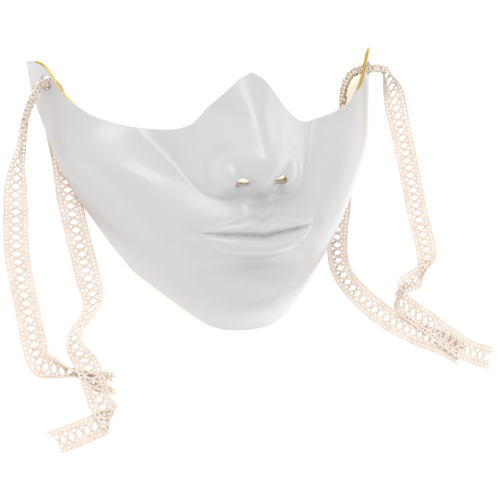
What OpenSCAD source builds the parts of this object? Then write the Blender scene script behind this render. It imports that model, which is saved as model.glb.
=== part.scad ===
// Half-face costume mask: a thin white moulded shell over the nose, cheeks, mouth and chin, painted
// gold inside, with a bunched lace ribbon threaded through a round hole at each wing tip.
// It lies on its back, face up, with the chin towards -Y. All sizes are in millimetres.

/* [Mask] */
// Largest half width of the face form behind the wing tips
half_width = 84; // [80:0.5:88]
// Thickness of the moulded wall
wall = 1.2; // [1:0.1:1.5]
// Thickness of the gold coat on the inner side
coat = 0.3; // [0.2:0.05:0.4]
// Diameter of the round tie hole in each wing tip
tie_hole_d = 6; // [5:0.5:7]
// Diameter of each pierced nostril
nostril_d = 5; // [4:0.5:6]
// Tilt of the face plane when the mask rests on its wing tips and jaw corners
rest_tilt = 19; // [17:0.5:20]

/* [Face features] */
// Height of the lips above the muzzle
lip_h = 3; // [0:0.5:4]
// Height of the chin pad
chin_h = 6.5; // [4:0.5:8]
// Fullness of each nostril wing
ala_h = 5; // [3:0.5:6]

/* [Ribbons] */
// Width of the ribbon where it lies flat
ribbon_w = 11; // [8:0.5:12]
// Thickness of the ribbon
ribbon_t = 0.7; // [0.5:0.1:0.8]

/* [Hidden] */

// The face form is written as worn: X across, H up the face, D forward. Each row is one level:
// [H, D of the base surface at the middle, half width, depth, squareness of the section].
face_rows = [
    [8, -32, half_width + 4, 86, 3.5],
    [-28, -26, half_width, 86, 3.5],
    [-50, -4, half_width - 4, 98, 2.45],
    [-74, 6, half_width - 19, 95, 2.2],
    [-92, 3, half_width - 33, 78, 2.2],
    [-105, 0, half_width - 45, 64, 2.2],
    [-119, -10, half_width - 57, 50, 2.2]
];
// Ridge of the nose along the middle of the face, [H, D]
nose_ridge = [[8, -3], [-5, 0], [-22, 8], [-35, 16.2], [-41, 17.5], [-46, 12], [-52, 2], [-60, -14]];
// Upper rim from the top of the nose to the wing tip, [part of the half span, H]
top_rim = [
    [0, -5], [0.07, -8], [0.2, -18.5], [0.31, -26.5], [0.43, -29], [0.6, -27.5],
    [0.76, -23], [0.84, -17], [0.88, -11], [0.92, -3.5], [0.96, -0.8], [1, -1.2]
];
chin_rim_h = -117;
jaw_rise = 25;
jaw_power = 5;
span_jaw = 0.88;
span_wing = 0.94;

// Places of the tie holes and the nostrils on the face form, [X, H]
tie_hole_at = [75.5, -10];
nostril_at = [8, -49];

// Cells of the surface grid: across the face, then below, along and above the level rows
inner_s = 48;
low_cells = 7;
level_cells = 28;
high_cells = 10;
level_from = -85;
level_to = -45;
rim_part = 0.012;
rim_margin = 0.8;

// Ribbon routes: [X, Y, Z, width, thickness, heading of the width, lift of the width].
// They start at one free end, pass through the tie hole and finish at the other free end.
rw = ribbon_w;
rt = ribbon_t;
left_route = [
    [-59, -79, 1.4, rw * 0.9, rt, 85, 10],
    [-66.5, -77.5, 1.2, rw * 0.8, rt * 1.2, 84, 12],
    [-73, -73.5, 1.6, rw * 0.35, rt * 2, 84, 50],
    [-79, -72, 2.2, rw * 0.6, rt * 1.6, 84, 30],
    [-84, -70, 2.6, rw * 0.9, rt, 78, 22],
    [-88, -68.5, 2.2, rw, rt, 52, 10],
    [-90, -65, 1.8, rw, rt, 28, 0],
    [-91, -57.5, 1.2, rw, rt, 4, 0],
    [-92.5, -40, 0.7, rw, rt, -5, 0],
    [-94, -22, 0.7, rw, rt, -3, 0],
    [-93, -5, 0.8, rw, rt, -4, 0],
    [-91.5, 10, 2.4, rw, rt, -4, -22],
    [-90, 18.5, 4.5, rw, rt, -4, -50],
    [-88, 25.5, 5.8, rw * 0.8, rt * 1.2, -4, -68],
    [-86.5, 33, 7.8, rw * 0.62, rt * 1.6, -4, -75],
    [-84.5, 40, 10.2, rw * 0.52, rt * 1.6, -8, -85],
    [-81.5, 46, 12.6, rw * 0.45, rt * 2, -12, -98],
    [-79, 50, 13, rw * 0.38, rt * 2, -6, -116],
    [-75.5, 51.5, 10.5, rw * 0.34, rt * 2, 0, -124],
    [-72.4, 51.4, 8.2, rw * 0.36, rt * 2, 0, -122],
    [-70, 48, 6, rw * 0.5, rt * 2, 0, -125],
    [-70, 41, 3.4, rw * 0.8, rt * 1.2, 0, -150],
    [-70.5, 33, 1.2, rw, rt, 0, -175],
    [-69.5, 20, 0.7, rw, rt, 1, -180],
    [-69, 2.5, 0.7, rw, rt, 3, -180],
    [-67, -15, 0.7, rw, rt, 4, -180],
    [-65, -33, 2.2, rw, rt, 2, -162],
    [-64.5, -43, 4.6, rw, rt, 2, -133],
    [-67.5, -49, 5.2, rw, rt, -6, -121],
    [-73, -55, 5.5, rw, rt, -10, -116],
    [-74.5, -61.5, 5.6, rw, rt, 2, -124],
    [-70.5, -69.5, 5.2, rw, rt, 3, -165],
    [-68, -78.5, 4.4, rw, rt, -5, -180],
    [-66, -86.5, 3.2, rw, rt, 12, -180],
    [-62, -94.5, 2, rw * 1.4, rt, 62, -180],
    [-69, -96.5, 1, rw * 1.1, rt, 90, -180],
    [-76, -98.5, 0.6, rw, rt, 101, -180],
    [-86.5, -101, 0.6, rw, rt, 112, -180]
];
right_route = [
    [122, -88, 0.7, rw, rt, 67, 0],
    [112, -84, 1.8, rw, rt, 64, 0],
    [103, -78, 2.6, rw, rt, 56, 0],
    [92, -68, 1.8, rw, rt, 54, 0],
    [82, -59.5, 1.2, rw, rt, 58, 0],
    [78, -54.5, 3, rw * 0.9, rt, 78, 30],
    [80, -50.5, 4, rw * 0.85, rt * 1.2, 100, 40],
    [87, -48, 3.6, rw * 0.9, rt, 98, 20],
    [93.5, -45.5, 2.8, rw * 1.1, rt, 62, 0],
    [96, -41, 1.8, rw * 1.05, rt, 25, 0],
    [97, -32, 0.8, rw, rt, 6, 0],
    [96, -24, 0.7, rw, rt, 4, 0],
    [95, -12, 0.7, rw, rt, 4, 0],
    [94, 6, 0.7, rw, rt, 7, 0],
    [92.5, 23, 1.2, rw, rt, 13, 4],
    [90.5, 34.5, 3.4, rw, rt, 20, 24],
    [88, 42.5, 7.2, rw * 0.9, rt, 22, 48],
    [84.5, 48, 11.2, rw * 0.62, rt * 1.6, 18, 75],
    [82, 50, 13.4, rw * 0.44, rt * 2, 10, 100],
    [79, 50.8, 12.9, rw * 0.36, rt * 2, 5, 118],
    [75.5, 51.5, 10.5, rw * 0.34, rt * 2, 0, 124],
    [72, 51.4, 8, rw * 0.36, rt * 2, 0, 120],
    [67.5, 49.5, 7, rw * 0.5, rt * 2, 0, 112],
    [64, 43, 5.6, rw * 0.6, rt * 1.6, -2, 120],
    [63, 34, 4.2, rw * 0.8, rt * 1.2, -3, 140],
    [61.5, 20, 1.8, rw, rt, -3, 168],
    [59.5, 4, 0.8, rw, rt, -5, 180],
    [56.5, -11, 0.6, rw, rt, -9, 180],
    [53, -26, 0.6, rw * 0.95, rt, -10, 180],
    [53, -40, 0.6, rw * 0.95, rt, 12, 180],
    [61, -53, 0.6, rw, rt, 32, 180],
    [72.5, -64, 0.6, rw, rt, 46, 180],
    [85, -72, 0.6, rw, rt, 54, 180],
    [99, -79, 0.5, rw, rt, 62, 180],
    [107, -84.5, 0.5, rw, rt, 62, 180]
];
ribbon_rings = 78;

// Smooth step from 0 to 1, and a bell of height 1
function ease(from, to, v) = let(t = min(max((v - from) / (to - from), 0), 1)) t * t * (3 - 2 * t);
function bell(v, w) = exp(-pow(v / w, 2));
function window(v, w) = max(0, 1 - pow(v / w, 2));

// Cubic curve through column c of a table, read at k; the first column is the key
function cell_of(rows, k, i = 0) =
    i >= len(rows) - 2 || (rows[i + 1][0] - k) * (rows[i + 1][0] - rows[i][0]) > 0
        ? i : cell_of(rows, k, i + 1);
function slope(rows, c, i) =
    let(a = max(i - 1, 0), b = min(i + 1, len(rows) - 1))
    (rows[b][c] - rows[a][c]) / (rows[b][0] - rows[a][0]);
function curve(rows, c, k) =
    let(i = cell_of(rows, k), w = rows[i + 1][0] - rows[i][0])
    let(t = min(max((k - rows[i][0]) / w, 0), 1), t2 = t * t, t3 = t2 * t)
    (2 * t3 - 3 * t2 + 1) * rows[i][c] + (t3 - 2 * t2 + t) * w * slope(rows, c, i)
    + (3 * t2 - 2 * t3) * rows[i + 1][c] + (t3 - t2) * w * slope(rows, c, i + 1);

// Base of the face form without its features
function base_d(x, h) =
    let(n = curve(face_rows, 4, h), u = min(abs(x) / curve(face_rows, 2, h), 0.995))
    curve(face_rows, 1, h) - curve(face_rows, 3, h) * (1 - pow(1 - pow(u, n), 1 / n));

// The higher of two surfaces, rounded where they meet
function join(a, b, blend) =
    let(near = max(blend - abs(a - b), 0) / blend) max(a, b) + near * near * blend / 4;
// Fall from a rounded ridge: straight flanks with a rounded top
function roof(across, fall, radius) = fall * (norm([across, radius]) - radius);
// Rounded section of a lip, from 0 at one border to 0 at the other
function roll(t) = pow(max(1 - pow(2 * min(max(t, 0), 1) - 1, 2), 0), 0.9);

// Broad features of the face, added to the base
function muzzle(x, h) = 6.5 * bell(x, 27) * bell(h + 67, 17);
function cheek(x, h) = 3 * bell(abs(x) - 46, 18) * bell(h + 52, 20);
function chin(x, h) = chin_h * bell(x, 17) * bell(h + 101, 11) - 2.8 * bell(x, 20) * bell(h + 87.5, 5);

// Nose: bridge, tip and wings joined on, then the wing creases, the columella and the nostril dents
function bridge_d(x, h) =
    let(narrow = ease(-8, -36, h)) curve(nose_ridge, 1, h) - roof(x, 1.1 + 1.2 * narrow, 9 - 4 * narrow);
function tip_d(x, h) = 20 - roof(norm([x, h + 41.5]), 1.35, 6.5);
function wing_reach(x, h) = norm([abs(x) - 11.5, 0.8 * (h + 46.5)]);
function wing_d(x, h) = 10.5 + ala_h / 2.5 - roof(wing_reach(x, h), 1.6, 4);
function nose(face, x, h) =
    join(join(join(face, bridge_d(x, h), 12), tip_d(x, h), 5), wing_d(x, h), 1.6)
    - 1.1 * bell(wing_reach(x, h) - 8.2, 1.8) * ease(8, 14, abs(x)) * ease(-56, -50, h)
    + 1.5 * bell(x, 2.6) * bell(h + 51.5, 3.5)
    - 2 * bell(abs(x) - 6.8, 2.6) * bell(h + 50.5, 2.6);

// Lips between their top border, the mouth line and their bottom border
function mouth_h(x) = -71.2 - 0.8 * bell(x, 5) + pow(x / 25, 2);
function lip_top_h(x) =
    let(a = abs(x)) -64.2 + 1.3 * bell(a - 4.6, 3.4) - bell(a, 2.4) - 6 * pow(a / 26, 2.2);
function lip_bottom_h(x) = -82.2 + 12 * pow(abs(x) / 26, 2.6);
function upper_lip(x, h) =
    0.8 * lip_h * pow(window(x, 26), 0.6) * roll((lip_top_h(x) - h) / max(lip_top_h(x) - mouth_h(x), 0.1));
function lower_lip(x, h) =
    1.1 * lip_h * pow(window(x, 25), 0.6) * roll((mouth_h(x) - h) / max(mouth_h(x) - lip_bottom_h(x), 0.1));
function mouth_line(x, h) =
    -0.9 * pow(window(x, 27.5), 0.5) * bell(h - mouth_h(x), 1.3)
    - 1.3 * bell(abs(x) - 27, 3.4) * bell(h - mouth_h(x), 3);
function philtrum(x, h) =
    0.6 * bell(abs(x) - 4.6, 2) * bell(h + 59.5, 4.5) - 0.9 * bell(x, 2.8) * bell(h + 59, 4.5);

function face_d(x, h) =
    nose(base_d(x, h) + muzzle(x, h) + cheek(x, h) + chin(x, h), x, h)
    + upper_lip(x, h) + lower_lip(x, h) + mouth_line(x, h) + philtrum(x, h);

// The mask lies on its back: the face form turns about X by the resting tilt
function laid(p) = [
    p.x,
    p.y * cos(rest_tilt) - p.z * sin(rest_tilt),
    p.y * sin(rest_tilt) + p.z * cos(rest_tilt)
];

// Outline of the mask on the face form: s runs from wing to wing, t from the jaw rim to the top rim
function rim_low(s) = chin_rim_h + jaw_rise * pow(abs(s), jaw_power);
function rim_high(s) = curve(top_rim, 1, abs(s));
function span(h) = span_jaw + (span_wing - span_jaw) * min(max((h + 55) / 40, 0), 1);
function unit(v) = v / norm(v);

// The grid of the wall: columns closer along the middle of the face, level rows over the lips and the
// nose base, and one narrow cell all along the rim
s_inner = [for (i = [0:inner_s]) let(a = 2 * i / inner_s - 1) (1 - rim_part) * a * (0.72 + 0.28 * a * a)];
s_at = [-1, each s_inner, 1];
function levels(low, high) = [
    low,
    for (j = [0:low_cells - 1]) low + rim_margin + (level_from - low - rim_margin) * j / low_cells,
    for (j = [0:level_cells - 1]) level_from + (level_to - level_from) * j / level_cells,
    for (j = [0:high_cells]) level_to + (high - rim_margin - level_to) * j / high_cells,
    high
];
function form_point(s, h) = let(x = s * span(h) * curve(face_rows, 2, h)) [x, h, face_d(x, h)];
grid = [for (s = s_at) [for (h = levels(rim_low(s), rim_high(s))) laid(form_point(s, h))]];
cells_s = len(grid) - 1;
cells_t = len(grid[0]) - 1;

// Outward normal of the grid at cell i, j
function grid_normal(i, j) =
    let(i0 = max(i - 1, 0), i1 = min(i + 1, cells_s), j0 = max(j - 1, 0), j1 = min(j + 1, cells_t))
    unit(cross(grid[i1][j] - grid[i0][j], grid[i][j1] - grid[i][j0]));
normals = [for (i = [0:cells_s]) [for (j = [0:cells_t]) grid_normal(i, j)]];

// The mask is centred over its box and its lowest point is on the floor
wall_points = [
    for (i = [0:cells_s])
        for (j = [0:cells_t]) each [grid[i][j], grid[i][j] - wall * normals[i][j]]
];
rest_y = (min([for (p = wall_points) p.y]) + max([for (p = wall_points) p.y])) / 2;
rest_z = min([for (p = wall_points) p.z]);
function seated(p) = [p.x, p.y - rest_y, p.z - rest_z];

// Layer of the mask between two depths under its outer face, leaving out m cells at the rim
module layer(depth_out, depth_in, m) {
    rows = cells_s + 1 - 2 * m;
    cols = cells_t + 1 - 2 * m;
    points = [
        for (d = [depth_out, depth_in])
            for (i = [m:cells_s - m])
                for (j = [m:cells_t - m]) seated(grid[i][j] - d * normals[i][j])
    ];
    under = rows * cols;
    faces = [
        for (i = [0:rows - 2])
            for (j = [0:cols - 2])
                let(a = i * cols + j, b = a + cols)
                each [
                    [a, a + 1, b + 1], [a, b + 1, b],
                    [under + a, under + b + 1, under + a + 1], [under + a, under + b, under + b + 1]
                ],
        for (i = [0:rows - 2])
            let(a = i * cols, b = a + cols, c = a + cols - 1, d = b + cols - 1)
            each [
                [a, b, under + b], [a, under + b, under + a],
                [c, under + d, d], [c, under + c, under + d]
            ],
        for (j = [0:cols - 2])
            let(a = j, b = j + 1, c = (rows - 1) * cols + j, d = c + 1)
            each [
                [a, under + b, b], [a, under + a, under + b],
                [c, d, under + d], [c, under + d, under + c]
            ]
    ];
    polyhedron(points, faces, convexity = 8);
}

// Cylinder of diameter d through the wall at face place [x, h], along the wall's own normal
module wall_bore(at, d) {
    step = 0.5;
    p = [at.x, at.y, face_d(at.x, at.y)];
    px = [at.x + step, at.y, face_d(at.x + step, at.y)];
    ph = [at.x, at.y + step, face_d(at.x, at.y + step)];
    n = unit(cross(laid(px) - laid(p), laid(ph) - laid(p)));
    translate(seated(laid(p)))
        rotate([0, acos(n.z), atan2(n.y, n.x)])
            cylinder(h = 9, d = d, center = true, $fn = 48);
}

module face_openings() {
    for (side = [-1, 1]) {
        wall_bore([side * tie_hole_at.x, tie_hole_at.y], tie_hole_d);
        wall_bore([side * nostril_at.x, nostril_at.y], nostril_d);
    }
}

module mask_shell() {
    color("whitesmoke")
        difference() {
            layer(0, wall, 0);
            face_openings();
        }
}

module gold_lining() {
    color("goldenrod")
        difference() {
            layer(wall, wall + coat, 1);
            face_openings();
        }
}

// Point on a smooth route: Catmull-Rom through the listed rows, u from 0 to 1
function route_at(route, u) =
    let(last = len(route) - 1, k = min(floor(u * last), last - 1), t = u * last - k)
    let(a = route[max(k - 1, 0)], b = route[k], c = route[k + 1], d = route[min(k + 2, last)])
    0.5 * (2 * b + (c - a) * t + (2 * a - 5 * b + 4 * c - d) * t * t
    + (3 * b - 3 * c + d - a) * t * t * t);
function head(v) = [v[0], v[1], v[2]];
function ribbon_ring(route, u) =
    let(r = route_at(route, u), e = 0.004)
    let(along = head(route_at(route, min(u + e, 1))) - head(route_at(route, max(u - e, 0))))
    let(side = [cos(r[5]) * cos(r[6]), sin(r[5]) * cos(r[6]), sin(r[6])])
    let(up = unit(cross(along, side)), w = r[3] / 2, h = r[4] / 2)
    [for (q = [[1, 0.4], [0.86, 1], [-0.86, 1], [-1, 0.4], [-1, -0.4], [-0.86, -1], [0.86, -1], [1, -0.4]])
        let(p = head(r) + q[0] * w * side + q[1] * h * up) [p.x, p.y, max(p.z, 0)]];

// A flat ribbon swept along its route as one closed solid of 8 sides
module ribbon(route) {
    rings = [for (i = [0:ribbon_rings - 1]) ribbon_ring(route, i / (ribbon_rings - 1))];
    points = [for (ring = rings) each ring];
    last = 8 * (ribbon_rings - 1);
    faces = [
        [for (k = [0:7]) k],
        [for (k = [7:-1:0]) last + k],
        for (i = [0:ribbon_rings - 2])
            for (k = [0:7])
                let(a = 8 * i + k, b = 8 * i + (k + 1) % 8)
                each [[a, a + 8, b + 8], [a, b + 8, b]]
    ];
    polyhedron(points, faces, convexity = 10);
}

module ribbon_left() {
    color("antiquewhite") ribbon(left_route);
}

module ribbon_right() {
    color("antiquewhite") ribbon(right_route);
}

mask_shell();
gold_lining();
ribbon_left();
ribbon_right();
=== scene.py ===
"""A half-face costume mask lying on its back: a thin white moulded shell, gilded inside, with an openwork
lace ribbon threaded through the tie hole of each wing. Places are in metres. The face form itself is
written in millimetres and as worn (X across, H up the face, D forward), then tilted and seated."""
import math

import bmesh
import bpy
import numpy as np
from mathutils import Matrix, Vector


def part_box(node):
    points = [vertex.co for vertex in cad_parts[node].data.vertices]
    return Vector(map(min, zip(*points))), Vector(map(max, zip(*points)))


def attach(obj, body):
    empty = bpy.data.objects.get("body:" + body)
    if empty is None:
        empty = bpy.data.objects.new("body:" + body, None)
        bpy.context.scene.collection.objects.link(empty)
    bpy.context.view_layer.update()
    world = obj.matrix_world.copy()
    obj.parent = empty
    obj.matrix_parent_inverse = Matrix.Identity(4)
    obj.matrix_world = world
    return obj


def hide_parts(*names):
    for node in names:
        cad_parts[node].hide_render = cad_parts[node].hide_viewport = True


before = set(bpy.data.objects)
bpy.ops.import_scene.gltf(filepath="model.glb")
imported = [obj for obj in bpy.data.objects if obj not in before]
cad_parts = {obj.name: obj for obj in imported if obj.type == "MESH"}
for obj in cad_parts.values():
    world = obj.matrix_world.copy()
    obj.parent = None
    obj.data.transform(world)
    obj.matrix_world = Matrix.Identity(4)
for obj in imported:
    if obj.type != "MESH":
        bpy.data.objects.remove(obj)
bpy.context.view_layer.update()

MM = 0.001
SEED = 7

# ---------------------------------------------------------------- camera

CAMERA_AT = Vector((-0.1902, -0.0944, 0.5848))
CAMERA_AIM = Vector((0.0037, -0.0292, 0.0200))
CAMERA_UP = Vector((0.0838, 0.9862, 0.1428))
CAMERA_LENS = 99.5


def make_camera():
    data = bpy.data.cameras.new("camera")
    data.lens = CAMERA_LENS
    camera = bpy.data.objects.new("camera", data)
    back = (CAMERA_AT - CAMERA_AIM).normalized()
    right = CAMERA_UP.cross(back).normalized()
    turn = Matrix((right, back.cross(right), back)).transposed().to_4x4()
    camera.matrix_world = Matrix.Translation(CAMERA_AT) @ turn
    bpy.context.scene.collection.objects.link(camera)
    bpy.context.scene.camera = camera


# ---------------------------------------------------------------- shared helpers

def bell(value, width):
    """1 at zero, falling away smoothly over the width."""
    return np.exp(-(value / width) ** 2)


def window(value, width):
    """1 at zero, 0 from the width outwards."""
    return np.clip(1 - (value / width) ** 2, 0, 1)


def ease(start, end, value):
    """Smooth step from 0 at start to 1 at end."""
    t = np.clip((value - start) / (end - start), 0, 1)
    return t * t * (3 - 2 * t)


def unit(vectors):
    return vectors / np.linalg.norm(vectors, axis=-1, keepdims=True)


def make_object(name, points, faces):
    """Mesh object from points in metres; faces is an array or a list of corner lists."""
    mesh = bpy.data.meshes.new(name)
    mesh.from_pydata(points.tolist(), [], faces if isinstance(faces, list) else faces.tolist())
    mesh.update()
    mesh.shade_smooth()
    piece = bpy.data.objects.new(name, mesh)
    bpy.context.scene.collection.objects.link(piece)
    return piece


# ---------------------------------------------------------------- materials

def new_material(name):
    """Material with a Principled shader; returns it, its node tree's nodes, its links and the shader."""
    material = bpy.data.materials.new(name)
    material.use_nodes = True
    nodes = material.node_tree.nodes
    return material, nodes, material.node_tree.links, nodes["Principled BSDF"]


def noise_node(nodes, links, scale, detail=4.0, roughness=0.55):
    """Noise over the object's own coordinates, in metres."""
    place = nodes.new("ShaderNodeTexCoord")
    noise = nodes.new("ShaderNodeTexNoise")
    noise.inputs["Scale"].default_value = scale
    noise.inputs["Detail"].default_value = detail
    noise.inputs["Roughness"].default_value = roughness
    links.new(place.outputs["Object"], noise.inputs["Vector"])
    return noise


def ramp_node(nodes, links, source, stops):
    """Colour ramp with stops of (position, colour)."""
    ramp = nodes.new("ShaderNodeValToRGB")
    elements = ramp.color_ramp.elements
    while len(elements) < len(stops):
        elements.new(0.5)
    for element, (position, colour) in zip(elements, stops):
        element.position = position
        element.color = (*colour, 1)
    links.new(source, ramp.inputs["Fac"])
    return ramp


def spread_node(nodes, links, source, low, high, to_low, to_high):
    """Maps the range low..high of a value to another range."""
    spread = nodes.new("ShaderNodeMapRange")
    spread.inputs["From Min"].default_value = low
    spread.inputs["From Max"].default_value = high
    spread.inputs["To Min"].default_value = to_low
    spread.inputs["To Max"].default_value = to_high
    links.new(source, spread.inputs["Value"])
    return spread


def bump_node(nodes, links, height, strength, distance, under=None):
    bump = nodes.new("ShaderNodeBump")
    bump.inputs["Strength"].default_value = strength
    bump.inputs["Distance"].default_value = distance
    links.new(height, bump.inputs["Height"])
    if under is not None:
        links.new(under.outputs["Normal"], bump.inputs["Normal"])
    return bump


GOLD_DARK = (0.42, 0.26, 0.030)
GOLD_MID = (0.56, 0.38, 0.055)
GOLD_LIGHT = (0.67, 0.49, 0.11)
BRUSH_STRETCH = (300, 2200, 2200)
PAINT_METALLIC = 0.85
WHITE_LOW = (0.540, 0.531, 0.538)
WHITE_HIGH = (0.562, 0.552, 0.556)


def gold_colour(nodes, links):
    """Brushed gold paint: its colour, the bump of its brush marks and the marks themselves."""
    patches = noise_node(nodes, links, 90, 5, 0.6)
    colour = ramp_node(nodes, links, patches.outputs["Fac"],
                       [(0.30, GOLD_DARK), (0.52, GOLD_MID), (0.75, GOLD_LIGHT)])
    place = nodes.new("ShaderNodeTexCoord")
    stretch = nodes.new("ShaderNodeMapping")
    stretch.inputs["Scale"].default_value = BRUSH_STRETCH
    streaks = nodes.new("ShaderNodeTexNoise")
    streaks.inputs["Scale"].default_value = 1.0
    streaks.inputs["Detail"].default_value = 3.0
    links.new(place.outputs["Object"], stretch.inputs["Vector"])
    links.new(stretch.outputs["Vector"], streaks.inputs["Vector"])
    bump = bump_node(nodes, links, streaks.outputs["Fac"], 0.35, 0.0002)
    return colour, bump, streaks


def gold_material():
    material, nodes, links, shader = new_material("gold_paint")
    colour, bump, streaks = gold_colour(nodes, links)
    shine = spread_node(nodes, links, streaks.outputs["Fac"], 0.3, 0.7, 0.32, 0.46)
    links.new(colour.outputs["Color"], shader.inputs["Base Color"])
    links.new(shine.outputs["Result"], shader.inputs["Roughness"])
    links.new(bump.outputs["Normal"], shader.inputs["Normal"])
    shader.inputs["Metallic"].default_value = PAINT_METALLIC
    return material


def shell_material():
    """Semi-gloss white moulding, with gold paint where the attribute paint_mm is above zero."""
    material, nodes, links, shader = new_material("white_shell")
    tone = noise_node(nodes, links, 28, 3, 0.5)
    white = ramp_node(nodes, links, tone.outputs["Fac"],
                      [(0.25, WHITE_LOW), (0.75, WHITE_HIGH)])
    fine = noise_node(nodes, links, 1100, 2, 0.5)
    broad = noise_node(nodes, links, 130, 2, 0.5)
    skin = bump_node(nodes, links, fine.outputs["Fac"], 0.12, 0.0001)
    skin = bump_node(nodes, links, broad.outputs["Fac"], 0.06, 0.0006, skin)
    shine = spread_node(nodes, links, tone.outputs["Fac"], 0.3, 0.7, 0.27, 0.34)

    gold, brush, streaks = gold_colour(nodes, links)
    paint = nodes.new("ShaderNodeAttribute")
    paint.attribute_name = "paint_mm"
    ragged = noise_node(nodes, links, 700, 3, 0.6)
    wander = spread_node(nodes, links, ragged.outputs["Fac"], 0.2, 0.8, -0.7, 0.7)
    reach = nodes.new("ShaderNodeMath")
    reach.operation = "ADD"
    links.new(paint.outputs["Fac"], reach.inputs[0])
    links.new(wander.outputs["Result"], reach.inputs[1])
    cover = spread_node(nodes, links, reach.outputs["Value"], -0.12, 0.12, 0, 1)

    mix = nodes.new("ShaderNodeMix")
    mix.data_type = "RGBA"
    links.new(cover.outputs["Result"], mix.inputs[0])
    links.new(white.outputs["Color"], mix.inputs[6])
    links.new(gold.outputs["Color"], mix.inputs[7])
    links.new(mix.outputs[2], shader.inputs["Base Color"])
    metal = spread_node(nodes, links, cover.outputs["Result"], 0, 1, 0, PAINT_METALLIC)
    links.new(metal.outputs["Result"], shader.inputs["Metallic"])
    links.new(shine.outputs["Result"], shader.inputs["Roughness"])
    links.new(skin.outputs["Normal"], shader.inputs["Normal"])
    shader.inputs["Coat Weight"].default_value = 0.25
    shader.inputs["Coat Roughness"].default_value = 0.18
    return material


LACE_PALE = (0.830, 0.730, 0.650)
LACE_WARM = (0.770, 0.655, 0.570)


def lace_material():
    """Matt cotton thread with its twist, from the map laid along and round each thread."""
    material, nodes, links, shader = new_material("lace")
    tone = noise_node(nodes, links, 160, 3, 0.6)
    colour = ramp_node(nodes, links, tone.outputs["Fac"], [(0.3, LACE_WARM), (0.62, LACE_PALE)])
    thread = nodes.new("ShaderNodeUVMap")
    thread.uv_map = "thread"
    twist = nodes.new("ShaderNodeTexWave")
    twist.wave_type = "BANDS"
    twist.bands_direction = "DIAGONAL"
    twist.inputs["Scale"].default_value = 1.0
    twist.inputs["Distortion"].default_value = 0.6
    links.new(thread.outputs["UV"], twist.inputs["Vector"])
    fuzz = noise_node(nodes, links, 5200, 2, 0.6)
    bump = bump_node(nodes, links, twist.outputs["Fac"], 0.5, 0.00012)
    bump = bump_node(nodes, links, fuzz.outputs["Fac"], 0.35, 0.00008, bump)
    links.new(colour.outputs["Color"], shader.inputs["Base Color"])
    links.new(bump.outputs["Normal"], shader.inputs["Normal"])
    shader.inputs["Roughness"].default_value = 0.88
    shader.inputs["Sheen Weight"].default_value = 0.15
    shader.inputs["Sheen Roughness"].default_value = 0.45
    return material


def floor_material():
    material, nodes, links, shader = new_material("pale_floor")
    tone = noise_node(nodes, links, 6, 2, 0.5)
    colour = ramp_node(nodes, links, tone.outputs["Fac"],
                       [(0.3, (0.90, 0.90, 0.90)), (0.7, (0.92, 0.92, 0.92))])
    links.new(colour.outputs["Color"], shader.inputs["Base Color"])
    shader.inputs["Roughness"].default_value = 0.9
    shader.inputs["Specular IOR Level"].default_value = 0.1
    shader.inputs["Emission Color"].default_value = (1, 1, 1, 1)
    shader.inputs["Emission Strength"].default_value = 0.45
    return material


# ---------------------------------------------------------------- lace ribbons

# Flat ribbon, in millimetres: width, and places of its four lengthwise threads from the middle
RIBBON_WIDTH = 11.0
EDGE_AT = 4.90
INNER_AT = 3.1
EDGE_THREAD = 1.20
INNER_THREAD = 1.10
RUNG_THREAD = 1.05
RUNG_PITCH = 1.8
NET_STRAND = 0.94
NET_PITCH = 3.6
NET_TWIST = 2.2
NET_LAP = 0.24
NET_RISE = 0.2
THREAD_FLAT = 0.4
THREAD_STEP = 0.7
NET_STEP = 0.36
FRAY = 2.0
PLEATS = 1.5
FLOOR_GAP = 0.02
ROUTE_STEPS = 1600

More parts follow.
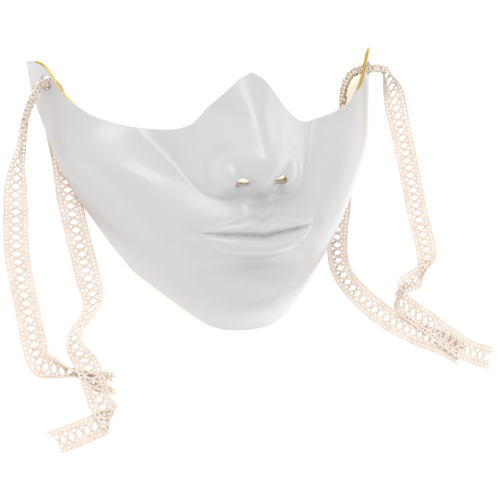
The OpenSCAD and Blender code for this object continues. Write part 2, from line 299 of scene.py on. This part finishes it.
# Routes of the ribbons: [X, Y, Z, part of the full width, heading of the width, lift of the width].
# Each starts at one free end, passes through its tie hole and finishes at the other free end.
LEFT_ROUTE = [
    (-0.0590, -0.0790, 0.0014, 0.90, 85, 10),
    (-0.0665, -0.0775, 0.0012, 0.80, 84, 12),
    (-0.0730, -0.0735, 0.0016, 0.35, 84, 50),
    (-0.0790, -0.0720, 0.0022, 0.60, 84, 30),
    (-0.0840, -0.0700, 0.0026, 0.90, 78, 22),
    (-0.0880, -0.0685, 0.0022, 1.00, 52, 10),
    (-0.0900, -0.0650, 0.0018, 1.00, 28, 0),
    (-0.0910, -0.0575, 0.0012, 1.00, 4, 0),
    (-0.0925, -0.0400, 0.0007, 1.00, -5, 0),
    (-0.0940, -0.0220, 0.0007, 1.00, -3, 0),
    (-0.0930, -0.0050, 0.0008, 1.00, -4, 0),
    (-0.0915, 0.0100, 0.0024, 1.00, -4, -22),
    (-0.0900, 0.0185, 0.0045, 1.00, -4, -50),
    (-0.0880, 0.0255, 0.0058, 0.80, -4, -68),
    (-0.0865, 0.0330, 0.0078, 0.62, -4, -75),
    (-0.0845, 0.0400, 0.0102, 0.52, -8, -85),
    (-0.0815, 0.0460, 0.0126, 0.45, -12, -98),
    (-0.0790, 0.0500, 0.0130, 0.38, -6, -116),
    (-0.0755, 0.0515, 0.0105, 0.34, 0, -124),
    (-0.0724, 0.0514, 0.0082, 0.36, 0, -122),
    (-0.0700, 0.0480, 0.0060, 0.50, 0, -125),
    (-0.0700, 0.0410, 0.0034, 0.80, 0, -150),
    (-0.0705, 0.0330, 0.0012, 1.00, 0, -175),
    (-0.0695, 0.0200, 0.0007, 1.00, 1, -180),
    (-0.0690, 0.0025, 0.0007, 1.00, 3, -180),
    (-0.0670, -0.0150, 0.0007, 1.00, 4, -180),
    (-0.0650, -0.0330, 0.0022, 1.00, 2, -162),
    (-0.0645, -0.0430, 0.0046, 1.00, 2, -133),
    (-0.0675, -0.0490, 0.0052, 1.00, -6, -121),
    (-0.0730, -0.0550, 0.0055, 1.00, -10, -116),
    (-0.0745, -0.0615, 0.0056, 1.00, 2, -124),
    (-0.0705, -0.0695, 0.0052, 1.00, 3, -165),
    (-0.0680, -0.0785, 0.0044, 1.00, -5, -180),
    (-0.0660, -0.0865, 0.0032, 1.00, 12, -180),
    (-0.0620, -0.0945, 0.0020, 1.40, 62, -180),
    (-0.0690, -0.0965, 0.0010, 1.10, 90, -180),
    (-0.0760, -0.0985, 0.0006, 1.00, 101, -180),
    (-0.0865, -0.1010, 0.0006, 1.00, 112, -180),
]
RIGHT_ROUTE = [
    (0.1220, -0.0880, 0.0007, 1.00, 67, 0),
    (0.1120, -0.0840, 0.0018, 1.00, 64, 0),
    (0.1030, -0.0780, 0.0026, 1.00, 56, 0),
    (0.0920, -0.0680, 0.0018, 1.00, 54, 0),
    (0.0820, -0.0595, 0.0012, 1.00, 58, 0),
    (0.0780, -0.0545, 0.0030, 0.90, 78, 30),
    (0.0800, -0.0505, 0.0040, 0.85, 100, 40),
    (0.0870, -0.0480, 0.0036, 0.90, 98, 20),
    (0.0935, -0.0455, 0.0028, 1.10, 62, 0),
    (0.0960, -0.0410, 0.0018, 1.05, 25, 0),
    (0.0970, -0.0320, 0.0008, 1.00, 6, 0),
    (0.0960, -0.0240, 0.0007, 1.00, 4, 0),
    (0.0950, -0.0120, 0.0007, 1.00, 4, 0),
    (0.0940, 0.0060, 0.0007, 1.00, 7, 0),
    (0.0925, 0.0230, 0.0012, 1.00, 13, 4),
    (0.0905, 0.0345, 0.0034, 1.00, 20, 24),
    (0.0880, 0.0425, 0.0072, 0.90, 22, 48),
    (0.0845, 0.0480, 0.0112, 0.62, 18, 75),
    (0.0820, 0.0500, 0.0134, 0.44, 10, 100),
    (0.0790, 0.0508, 0.0129, 0.36, 5, 118),
    (0.0755, 0.0515, 0.0105, 0.34, 0, 124),
    (0.0720, 0.0514, 0.0080, 0.36, 0, 120),
    (0.0675, 0.0495, 0.0070, 0.50, 0, 112),
    (0.0640, 0.0430, 0.0056, 0.60, -2, 120),
    (0.0630, 0.0340, 0.0042, 0.80, -3, 140),
    (0.0615, 0.0200, 0.0018, 1.00, -3, 168),
    (0.0595, 0.0040, 0.0008, 1.00, -5, 180),
    (0.0565, -0.0110, 0.0006, 1.00, -9, 180),
    (0.0530, -0.0260, 0.0006, 0.95, -10, 180),
    (0.0530, -0.0400, 0.0006, 0.95, 12, 180),
    (0.0610, -0.0530, 0.0006, 1.00, 32, 180),
    (0.0725, -0.0640, 0.0006, 1.00, 46, 180),
    (0.0850, -0.0720, 0.0006, 1.00, 54, 180),
    (0.0990, -0.0790, 0.0005, 1.00, 62, 180),
    (0.1070, -0.0845, 0.0005, 1.00, 62, 180),
]


def route_rows(route, steps):
    """Catmull-Rom curve through the rows of a route."""
    rows = np.array(route, float)
    last = len(rows) - 1
    u = np.linspace(0, last, steps)
    k = np.minimum(u.astype(int), last - 1)
    t = (u - k)[:, None]
    a, b = rows[np.maximum(k - 1, 0)], rows[k]
    c, d = rows[k + 1], rows[np.minimum(k + 2, last)]
    return 0.5 * (2 * b + (c - a) * t + (2 * a - 5 * b + 4 * c - d) * t * t
                  + (3 * b - 3 * c + d - a) * t ** 3)


def pleat_table():
    """Slope that a pleated section needs for each part of the full width."""
    slopes = np.linspace(0, 9, 400)
    phase = np.linspace(0, 2 * np.pi, 181)[:-1]
    lengths = np.sqrt(1 + (slopes[:, None] * np.cos(phase)) ** 2).mean(1)
    return 1 / lengths[::-1], slopes[::-1]


class Strip:
    """Middle line and frame of a ribbon along its route, by distance in millimetres from its first end."""

    def __init__(self, route):
        rows = route_rows(route, ROUTE_STEPS)
        middle = rows[:, :3] / MM
        along = unit(np.gradient(middle, axis=0))
        heading, lift = np.radians(rows[:, 4]), np.radians(rows[:, 5])
        side = np.stack([np.cos(heading) * np.cos(lift), np.sin(heading) * np.cos(lift), np.sin(lift)], 1)
        run = np.r_[0, np.cumsum(np.linalg.norm(np.diff(middle, axis=0), axis=1))]
        self.length = run[-1]
        self.run = run
        self.columns = np.hstack([middle, side, unit(np.cross(along, side)), along, rows[:, 3:4]])

    def at(self, v):
        """Interpolated frame at distances v; beyond either end it goes straight on."""
        columns = np.stack([np.interp(v, self.run, column) for column in self.columns.T], 1)
        beyond = v - np.clip(v, 0, self.length)
        middle = columns[:, :3] + beyond[:, None] * columns[:, 9:12]
        return middle, unit(columns[:, 3:6]), unit(columns[:, 6:9]), np.minimum(columns[:, 12], 1)

    def place(self, u, v, lift):
        """Point and normal at u across and v along the flat ribbon, lift above its middle surface."""
        middle, side, up, part = self.at(v)
        slope = np.interp(part, *pleat_table())
        depth = slope * RIBBON_WIDTH * part / (2 * np.pi * PLEATS)
        wave = depth * np.sin(2 * np.pi * PLEATS * u / RIBBON_WIDTH)
        return middle + (u * part)[:, None] * side + (wave + lift)[:, None] * up, up


def tube(centre, normal, radius, sides=6):
    """Closed flattened tube round a row of points: its points, faces and the map of each face corner."""
    along = unit(np.gradient(centre, axis=0))
    across = unit(np.cross(along, normal))
    above = np.cross(across, along)
    angle = 2 * np.pi * np.arange(sides) / sides
    wide, high = np.cos(angle)[None, :, None], THREAD_FLAT * np.sin(angle)[None, :, None]
    ring = wide * across[:, None] + high * above[:, None]
    points = (centre[:, None] + np.reshape(radius, (-1, 1, 1)) * ring).reshape(-1, 3)
    count = len(centre)
    i, k = np.meshgrid(np.arange(count - 1), np.arange(sides), indexing="ij")
    i, k = i.ravel(), k.ravel()
    after = (k + 1) % sides
    faces = np.stack([i * sides + k, i * sides + after, (i + 1) * sides + after, (i + 1) * sides + k], 1)
    run = np.r_[0, np.cumsum(np.linalg.norm(np.diff(centre, axis=0), axis=1))]
    corner = np.stack([
        np.stack([run[i], k / sides], 1), np.stack([run[i], (k + 1) / sides], 1),
        np.stack([run[i + 1], (k + 1) / sides], 1), np.stack([run[i + 1], k / sides], 1)], 1)
    caps = [list(range(sides))[::-1], [(count - 1) * sides + c for c in range(sides)]]
    return points, faces, corner, caps


class Lace:
    """Collects the threads of one ribbon."""

    def __init__(self, strip, seed):
        self.strip = strip
        self.random = np.random.default_rng(seed)
        self.points, self.faces, self.corners, self.count = [], [], [], 0

    def add(self, u, v, lift, radius):
        """One thread along the places (u, v) of the flat ribbon."""
        centre, normal = self.strip.place(u, v, lift)
        centre[:, 2] = np.maximum(centre[:, 2], radius + FLOOR_GAP)
        points, faces, corner, caps = tube(centre, normal, radius)
        self.points.append(points)
        self.faces.extend((faces + self.count).tolist())
        self.faces.extend([[c + self.count for c in cap] for cap in caps])
        self.corners.append(corner.reshape(-1, 2))
        self.corners.append(np.zeros((sum(len(c) for c in caps), 2)))
        self.count += len(points)

    def wander(self, v, size, pitch=9.0):
        """Smooth random drift along v."""
        knots = np.arange(-2 * pitch, self.strip.length + 3 * pitch, pitch)
        return np.interp(v, knots, self.random.normal(0, size, len(knots)))

    def lengthwise(self, at, thread):
        """Thread from end to end, a little past both, where it hangs loose."""
        start = -self.random.uniform(0.2, FRAY)
        end = self.strip.length + self.random.uniform(0.2, FRAY)
        v = np.arange(start, end, THREAD_STEP)
        loose = np.clip(-v, 0, None) + np.clip(v - self.strip.length, 0, None)
        u = at + self.wander(v, 0.07) + self.random.uniform(-0.4, 0.5) * loose * np.sign(at)
        self.add(u, v, self.wander(v, 0.05) + 0.3 * loose, thread / 2)

    def ladder(self, side):
        """Rungs between the edge thread and the inner thread."""
        for v in np.arange(0.6, self.strip.length - 0.3, RUNG_PITCH):
            v += self.random.normal(0, 0.10)
            t = np.linspace(0, 1, 5)
            slant = self.random.normal(0, 0.12)
            swell = 1 + 0.22 * np.abs(2 * t - 1)
            u = side * (EDGE_AT + (INNER_AT - EDGE_AT) * t)
            self.add(u, v + slant * t, 0.10 * np.sin(np.pi * t), RUNG_THREAD / 2 * swell)

    def net(self, side):
        """One zigzag of the net: two strands twisted round each other from inner thread to inner thread."""
        start, end = self.random.uniform(0, 1.2), self.strip.length - self.random.uniform(0, 1.2)
        v = np.arange(start, end, NET_STEP)
        phase = np.pi * v / NET_PITCH
        u = side * INNER_AT * (2 / np.pi) * np.arcsin(0.985 * np.sin(phase)) / 0.93
        over = NET_RISE * side * np.cos(phase)
        run = np.r_[0, np.cumsum(np.hypot(np.diff(u), np.diff(v)))]
        slope = np.gradient(u, v)
        lean = 1 / np.sqrt(1 + slope ** 2)
        for strand in (0, np.pi):
            turn = 2 * np.pi * run / NET_TWIST + strand
            aside = NET_LAP * np.cos(turn)
            self.add(u + aside * lean + self.wander(v, 0.05, 4.2), v - aside * slope * lean,
                     over + NET_RISE * np.sin(turn), NET_STRAND / 2)

    def make(self, name):
        """The whole ribbon as one object, with the map of its threads."""
        for side in (-1, 1):
            self.lengthwise(side * EDGE_AT, EDGE_THREAD)
            self.lengthwise(side * INNER_AT, INNER_THREAD)
            self.ladder(side)
            self.net(side)
        piece = make_object(name, np.vstack(self.points) * MM, self.faces)
        mapping = piece.data.uv_layers.new(name="thread")
        mapping.data.foreach_set("uv", np.vstack(self.corners).astype(np.float32).ravel())
        return piece


def make_ribbon(name, node, route, seed):
    strip = Strip(route)
    ribbon = Lace(strip, seed).make(name)
    ribbon.data.materials.append(lace_material())
    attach(ribbon, "root")
    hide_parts(node)
    return ribbon


# ---------------------------------------------------------------- the face form, in millimetres

HALF_WIDTH = 84
WALL = 1.2
COAT = 0.3
REST_TILT = math.radians(19)
LIP_H = 3
CHIN_H = 6.5
ALA_H = 5
TIE_HOLE_D = 6
NOSTRIL_D = 5
TIE_HOLE_AT = (75.5, -10)
NOSTRIL_AT = (8, -49)

# Each row is one level: [H, D of the base surface at the middle, half width, depth, squareness]
FACE_ROWS = np.array([
    [8, -32, HALF_WIDTH + 4, 86, 3.5],
    [-28, -26, HALF_WIDTH, 86, 3.5],
    [-50, -4, HALF_WIDTH - 4, 98, 2.45],
    [-74, 6, HALF_WIDTH - 19, 95, 2.2],
    [-92, 3, HALF_WIDTH - 33, 78, 2.2],
    [-105, 0, HALF_WIDTH - 45, 64, 2.2],
    [-119, -10, HALF_WIDTH - 57, 50, 2.2],
])
NOSE_RIDGE = np.array([[8, -3], [-5, 0], [-22, 8], [-35, 16.2], [-41, 17.5], [-46, 12], [-52, 2], [-60, -14]])
TOP_RIM = np.array([
    [0, -5], [0.07, -8], [0.2, -18.5], [0.31, -26.5], [0.43, -29], [0.6, -27.5],
    [0.76, -23], [0.84, -17], [0.88, -11], [0.92, -3.5], [0.96, -0.8], [1, -1.2],
])
CHIN_RIM_H = -117
JAW_RISE = 25
JAW_POWER = 5
SPAN_JAW, SPAN_WING = 0.88, 0.94
SPAN_FROM, SPAN_TO = -55, -15


def curve(rows, column, key):
    """Cubic curve through one column of a table, read at key; the first column is the key."""
    keys, values = rows[:, 0], rows[:, column]
    order = np.sign(keys[-1] - keys[0])
    cell = np.clip(np.searchsorted(order * keys, order * key, side="right") - 1, 0, len(keys) - 2)
    slope = np.gradient(np.zeros_like(keys, float))
    slope[1:-1] = (values[2:] - values[:-2]) / (keys[2:] - keys[:-2])
    slope[0] = (values[1] - values[0]) / (keys[1] - keys[0])
    slope[-1] = (values[-1] - values[-2]) / (keys[-1] - keys[-2])
    width = keys[cell + 1] - keys[cell]
    t = np.clip((key - keys[cell]) / width, 0, 1)
    return ((2 * t ** 3 - 3 * t ** 2 + 1) * values[cell] + (t ** 3 - 2 * t ** 2 + t) * width * slope[cell]
            + (3 * t ** 2 - 2 * t ** 3) * values[cell + 1] + (t ** 3 - t ** 2) * width * slope[cell + 1])


def base_d(x, h):
    """The face form without its features."""
    squareness = curve(FACE_ROWS, 4, h)
    u = np.minimum(np.abs(x) / curve(FACE_ROWS, 2, h), 0.995)
    return curve(FACE_ROWS, 1, h) - curve(FACE_ROWS, 3, h) * (1 - (1 - u ** squareness) ** (1 / squareness))


def join(a, b, blend):
    """The higher of two surfaces, rounded where they meet."""
    near = np.maximum(blend - np.abs(a - b), 0) / blend
    return np.maximum(a, b) + near * near * blend / 4


def roof(across, slope, radius):
    """Fall from a rounded ridge: straight flanks of a slope with a rounded top."""
    return slope * (np.sqrt(across * across + radius * radius) - radius)


def roll(t):
    """Rounded section of a lip, from 0 at one border to 0 at the other."""
    return np.clip(1 - (2 * t - 1) ** 2, 0, 1) ** 0.9


def muzzle(x, h):
    return 6.5 * bell(x, 27) * bell(h + 67, 17)


def cheek(x, h):
    return 3 * bell(np.abs(x) - 46, 18) * bell(h + 52, 20)


def chin(x, h):
    return CHIN_H * bell(x, 17) * bell(h + 101, 11) - 2.8 * bell(x, 20) * bell(h + 87.5, 5)


def nose(face, x, h):
    """The face with the bridge, the tip and the two wings of the nose joined on, and their creases."""
    a = np.abs(x)
    narrow = ease(-8, -36, h)
    bridge = curve(NOSE_RIDGE, 1, h) - roof(x, 1.1 + 1.2 * narrow, 9 - 4 * narrow)
    tip = 20 - roof(np.hypot(x, h + 41.5), 1.35, 6.5)
    reach = np.hypot(a - 11.5, 0.8 * (h + 46.5))
    wing = 10.5 + ALA_H / 2.5 - roof(reach, 1.6, 4)
    face = join(join(face, bridge, 12), tip, 5)
    face = join(face, wing, 1.6)
    face -= 1.1 * bell(reach - 8.2, 1.8) * ease(8, 14, a) * ease(-56, -50, h)
    face += 1.5 * bell(x, 2.6) * bell(h + 51.5, 3.5)
    return face - 2.0 * bell(a - 6.8, 2.6) * bell(h + 50.5, 2.6)


def lips(x, h):
    """Both lips between their borders, the groove of the mouth line and the two corners."""
    a = np.abs(x)
    line = -71.2 - 0.8 * bell(a, 5) + (a / 25) ** 2
    top = -64.2 + 1.3 * bell(a - 4.6, 3.4) - 1.0 * bell(a, 2.4) - 6.0 * (a / 26) ** 2.2
    bottom = -82.2 + 12 * (a / 26) ** 2.6
    down_upper = np.clip((top - h) / np.maximum(top - line, 0.1), 0, 1)
    down_lower = np.clip((line - h) / np.maximum(line - bottom, 0.1), 0, 1)
    upper = 0.8 * LIP_H * window(x, 26) ** 0.6 * roll(down_upper)
    lower = 1.1 * LIP_H * window(x, 25) ** 0.6 * roll(down_lower)
    groove = -0.9 * window(x, 27.5) ** 0.5 * bell(h - line, 1.3)
    corner = -1.3 * bell(a - 27, 3.4) * bell(h - line, 3)
    return upper + lower + groove + corner


def philtrum(x, h):
    return 0.6 * bell(np.abs(x) - 4.6, 2.0) * bell(h + 59.5, 4.5) - 0.9 * bell(x, 2.8) * bell(h + 59, 4.5)


def face_d(x, h):
    broad = base_d(x, h) + muzzle(x, h) + cheek(x, h) + chin(x, h)
    return nose(broad, x, h) + lips(x, h) + philtrum(x, h)


def laid(x, h, d):
    """The mask lies on its back: the form turns about X by the resting tilt."""
    return np.stack([x, h * math.cos(REST_TILT) - d * math.sin(REST_TILT),
                     h * math.sin(REST_TILT) + d * math.cos(REST_TILT)], -1)


# ---------------------------------------------------------------- the wall of the mask

INNER_COLUMNS = 190
LOW_ROWS, LEVEL_ROWS, HIGH_ROWS = 26, 96, 38
LEVEL_FROM, LEVEL_TO = -85, -45
RIM_PART = 0.012
RIM_MARGIN = 0.8
RIM_STEPS = 8
LINING_INSET = 0.35
HOLE_FLARE = 0.4
CUTTER_REACH = 3.0
SHARP_ANGLE = 50
WELD = 1e-6


def surface_grid():
    """Outer face of the mask as a grid: columns from wing to wing, rows from the jaw rim to the top rim."""
    a = np.linspace(-1, 1, INNER_COLUMNS + 1)
    s = np.r_[-1, (1 - RIM_PART) * a * (0.72 + 0.28 * a * a), 1]
    low = CHIN_RIM_H + JAW_RISE * np.abs(s) ** JAW_POWER
    high = curve(TOP_RIM, 1, np.abs(s))
    h = np.stack([
        low,
        *[low + RIM_MARGIN + (LEVEL_FROM - low - RIM_MARGIN) * j / LOW_ROWS for j in range(LOW_ROWS)],
        *[LEVEL_FROM + (LEVEL_TO - LEVEL_FROM) * j / LEVEL_ROWS + 0 * s for j in range(LEVEL_ROWS)],
        *[LEVEL_TO + (high - RIM_MARGIN - LEVEL_TO) * j / HIGH_ROWS for j in range(HIGH_ROWS + 1)],
        high], 1)
    upward = np.clip((h - SPAN_FROM) / (SPAN_TO - SPAN_FROM), 0, 1)
    span = SPAN_JAW + (SPAN_WING - SPAN_JAW) * upward
    x = s[:, None] * span * curve(FACE_ROWS, 2, h)
    return s, laid(x, h, face_d(x, h))


def grid_normals(grid):
    """Outward normals at the points of the grid."""
    across = np.empty_like(grid)
    across[1:-1] = grid[2:] - grid[:-2]
    across[0], across[-1] = grid[1] - grid[0], grid[-1] - grid[-2]
    upward = np.empty_like(grid)
    upward[:, 1:-1] = grid[:, 2:] - grid[:, :-2]
    upward[:, 0], upward[:, -1] = grid[:, 1] - grid[:, 0], grid[:, -1] - grid[:, -2]
    return unit(np.cross(across, upward))


def rim_loop(columns, rows):
    """Grid cells of the rim in order: jaw rim, right side, top rim, left side."""
    loop = [(i, 0) for i in range(columns)]
    loop += [(columns - 1, j) for j in range(1, rows)]
    loop += [(i, rows - 1) for i in range(columns - 2, -1, -1)]
    loop += [(0, j) for j in range(rows - 2, 0, -1)]
    return np.array(loop)


class Wall:
    """The curved wall, and layers of it between two depths under the outer face."""

    def __init__(self):
        self.s, grid = surface_grid()
        self.normals = grid_normals(grid)
        lowest = min(grid[..., 2].min(), (grid - WALL * self.normals)[..., 2].min())
        both = np.concatenate([grid[..., 1].ravel(), (grid - WALL * self.normals)[..., 1].ravel()])
        box_low, box_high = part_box("mask_shell")
        self.seat = np.array([0, (box_low.y + box_high.y) / 2 / MM - (both.min() + both.max()) / 2,
                              box_low.z / MM - lowest])
        self.grid = grid + self.seat
        self.loop = rim_loop(*grid.shape[:2])
        rim = self.grid[self.loop[:, 0], self.loop[:, 1]]
        normal = self.normals[self.loop[:, 0], self.loop[:, 1]]
        self.outward = unit(np.cross(np.roll(rim, -1, 0) - np.roll(rim, 1, 0), normal))

    def layer(self, name, outer, inner, inset):
        """Closed layer between two depths, with a rounded rim; returns it and its rim's rings of points."""
        columns, rows = self.grid.shape[:2]
        round_r = (inner - outer) / 2
        i, j = self.loop.T
        faces, sheets = [], []
        index = np.arange(columns * rows).reshape(columns, rows)
        for depth, flip in ((outer, False), (inner, True)):
            sheet = self.grid - depth * self.normals
            sheet[i, j] -= (inset + round_r) * self.outward
            sheets.append(sheet.reshape(-1, 3))
            quads = np.stack([index[:-1, :-1], index[1:, :-1], index[1:, 1:], index[:-1, 1:]], -1)
            quads = quads.reshape(-1, 4)
            faces.append(quads[:, ::-1] + columns * rows if flip else quads)
        middle = (self.grid - (outer + inner) / 2 * self.normals)[i, j] - (inset + round_r) * self.outward
        normal = self.normals[i, j]
        rings = [index[i, j]]
        points, start = sheets, 2 * columns * rows
        for step in range(1, RIM_STEPS):
            angle = math.pi * (0.5 - step / RIM_STEPS)
            points.append(middle + round_r * (math.sin(angle) * normal + math.cos(angle) * self.outward))
            rings.append(start + np.arange(len(i)))
            start += len(i)
        rings.append(index[i, j] + columns * rows)
        for upper, lower in zip(rings, rings[1:]):
            faces.append(np.stack([np.roll(upper, -1), upper, lower, np.roll(lower, -1)], 1))
        piece = make_object(name, np.vstack(points) * MM, np.vstack(faces))
        return piece, rings

    def frame_at(self, x, h):
        """Outer point and unit normal of the wall at a place on the face form."""
        step = 0.5
        xs, hs = np.array([x, x + step, x]), np.array([h, h, h + step])
        p = laid(xs, hs, face_d(xs, hs))
        return p[0] + self.seat, unit(np.cross(p[1] - p[0], p[2] - p[0]))


def hole_cutter(wall, at, diameter):
    """Solid of revolution for a round hole whose edges flare softly at both faces of the wall."""
    centre, normal = wall.frame_at(*at)
    r, thick, flare = diameter / 2, WALL + COAT, HOLE_FLARE
    curve_steps = np.linspace(0, math.pi / 2, 5)
    outer = [(r + flare * (1 - math.cos(a)), -flare * (1 - math.sin(a))) for a in curve_steps]
    inner = [(q, -thick - z) for q, z in outer[::-1]]
    above = [(0, CUTTER_REACH), (r + flare, CUTTER_REACH)]
    below = [(r + flare, -thick - CUTTER_REACH), (0, -thick - CUTTER_REACH)]
    profile = above + outer[::-1] + inner[::-1] + below
    return centre, normal, profile


def revolve(name, centre, normal, profile, steps=64):
    """Closed mesh of a profile of (radius, height) rows turned about the normal."""
    turn = Vector(normal).to_track_quat("Z", "Y").to_matrix()
    points, rings = [], []
    for radius, height in profile:
        if radius == 0:
            rings.append([len(points)] * steps)
            points.append((0, 0, height))
            continue
        rings.append(list(range(len(points), len(points) + steps)))
        for k in range(steps):
            angle = 2 * math.pi * k / steps
            points.append((radius * math.cos(angle), radius * math.sin(angle), height))
    faces = []
    for upper, lower in zip(rings, rings[1:]):
        for k in range(steps):
            n = (k + 1) % steps
            corners = [upper[k], lower[k], lower[n], upper[n]]
            faces.append([c for m, c in enumerate(corners) if c not in corners[:m]])
    placed = np.array([turn @ Vector(p) for p in points]) + centre
    return make_object(name, placed * MM, faces)


def drop_doubled_faces(mesh):
    """Removes pairs of triangles back to back on the same corners, which cutting can leave."""
    cells = bmesh.new()
    cells.from_mesh(mesh)
    bmesh.ops.triangulate(cells, faces=cells.faces)
    bmesh.ops.remove_doubles(cells, verts=cells.verts, dist=WELD)
    cells.verts.index_update()
    same = {}
    for face in cells.faces:
        same.setdefault(frozenset(vertex.index for vertex in face.verts), []).append(face)
    doubled = [face for faces in same.values() if len(faces) > 1 for face in faces]
    bmesh.ops.delete(cells, geom=doubled, context="FACES")
    cells.to_mesh(mesh)
    cells.free()


def cut(piece, cutters):
    """Takes the cutters out of a piece."""
    for cutter in cutters:
        modifier = piece.modifiers.new("hole", "BOOLEAN")
        modifier.operation = "DIFFERENCE"
        modifier.solver = "EXACT"
        modifier.object = cutter
    graph = bpy.context.evaluated_depsgraph_get()
    made = bpy.data.meshes.new_from_object(piece.evaluated_get(graph))
    piece.modifiers.clear()
    drop_doubled_faces(made)
    piece.data = made
    made.name = piece.name
    made.set_sharp_from_angle(angle=math.radians(SHARP_ANGLE))


def make_mask():
    """The shell and its gold coat, cut by the tie holes and the nostrils."""
    wall = Wall()
    shell, rings = wall.layer("moulded_shell", 0, WALL, 0)
    lining, _ = wall.layer("gold_inner_coat", WALL, WALL + COAT, LINING_INSET)
    mark_paint(shell, wall, rings)
    cutters = []
    for side in (-1, 1):
        for (x, h), diameter in ((TIE_HOLE_AT, TIE_HOLE_D), (NOSTRIL_AT, NOSTRIL_D)):
            cutters.append(revolve("cutter", *hole_cutter(wall, (side * x, h), diameter)))
    cut(shell, cutters)
    cut(lining, cutters)
    for cutter in cutters:
        bpy.data.objects.remove(cutter)
    shell.data.materials.clear()
    shell.data.materials.append(shell_material())
    lining.data.materials.clear()
    lining.data.materials.append(gold_material())
    for piece, node, slot in ((shell, "mask_shell", "white_shell"), (lining, "gold_lining", "gold_paint")):
        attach(piece, "root")
        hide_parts(node)


PAINT_RIM = 0.75
PAINT_WING = 2.3
PAINT_ROWS = 6
NO_PAINT, FULL_PAINT = -5.0, 1.0


def wing_share(s):
    """1 along the top rim near the wing tips, 0 elsewhere."""
    return ease(0.80, 0.86, np.abs(s)) * (1 - ease(0.955, 0.975, np.abs(s)))


def mark_paint(shell, wall, rings):
    """Attribute paint_mm: how far the gold paint reaches past each point, from the inner edge outwards."""
    columns, rows = wall.grid.shape[:2]
    i, j = wall.loop.T
    top_reach = PAINT_RIM + (PAINT_WING - PAINT_RIM) * wing_share(wall.s)
    reach = np.where(j == rows - 1, top_reach[i], PAINT_RIM)
    values = np.full(len(shell.data.vertices), NO_PAINT)
    around = math.pi * WALL / 2
    for step, ring in enumerate(rings):
        values[ring] = reach - around * (1 - step / RIM_STEPS)
    top = np.arange(columns)
    below = np.zeros(columns)
    for row in range(rows - 2, rows - 2 - PAINT_ROWS, -1):
        below += np.linalg.norm(wall.grid[:, row + 1] - wall.grid[:, row], axis=1)
        values[top * rows + row] = top_reach - around - below + WALL / 2
    values[columns * rows: 2 * columns * rows] = FULL_PAINT
    layer = shell.data.attributes.new("paint_mm", "FLOAT", "POINT")
    layer.data.foreach_set("value", values.astype(np.float32))


# ---------------------------------------------------------------- studio

FLOOR_HALF = 3.0
FLOOR_Z = -0.0002
WORLD_STRENGTH = 0.95


def make_floor():
    corners = [(-1, -1), (1, -1), (1, 1), (-1, 1)]
    points = np.array([(x * FLOOR_HALF, y * FLOOR_HALF, FLOOR_Z) for x, y in corners])
    floor = make_object("floor", points, [[0, 1, 2, 3]])
    floor.data.materials.append(floor_material())


def area_light(name, place, aim, size, power):
    data = bpy.data.lights.new(name, "AREA")
    data.shape = "SQUARE"
    data.size = size
    data.energy = power
    lamp = bpy.data.objects.new(name, data)
    lamp.location = place
    lamp.rotation_mode = "QUATERNION"
    lamp.rotation_quaternion = (Vector(aim) - Vector(place)).to_track_quat("-Z", "Y")
    bpy.context.scene.collection.objects.link(lamp)


def make_light():
    world = bpy.data.worlds.new("studio")
    bpy.context.scene.world = world
    world.use_nodes = True
    world.node_tree.nodes["Background"].inputs["Color"].default_value = (1, 1, 1, 1)
    world.node_tree.nodes["Background"].inputs["Strength"].default_value = WORLD_STRENGTH
    area_light("key", (-0.7, 0.9, 1.3), (0, 0, 0), 0.9, 8)
    area_light("fill", (0.9, -0.5, 1.2), (0, 0, 0), 1.2, 4)
    bpy.context.scene.view_settings.view_transform = "Standard"


make_camera()
make_ribbon("lace_ribbon_left", "ribbon_left", LEFT_ROUTE, SEED)
make_ribbon("lace_ribbon_right", "ribbon_right", RIGHT_ROUTE, SEED + 1)
make_mask()
make_floor()
make_light()
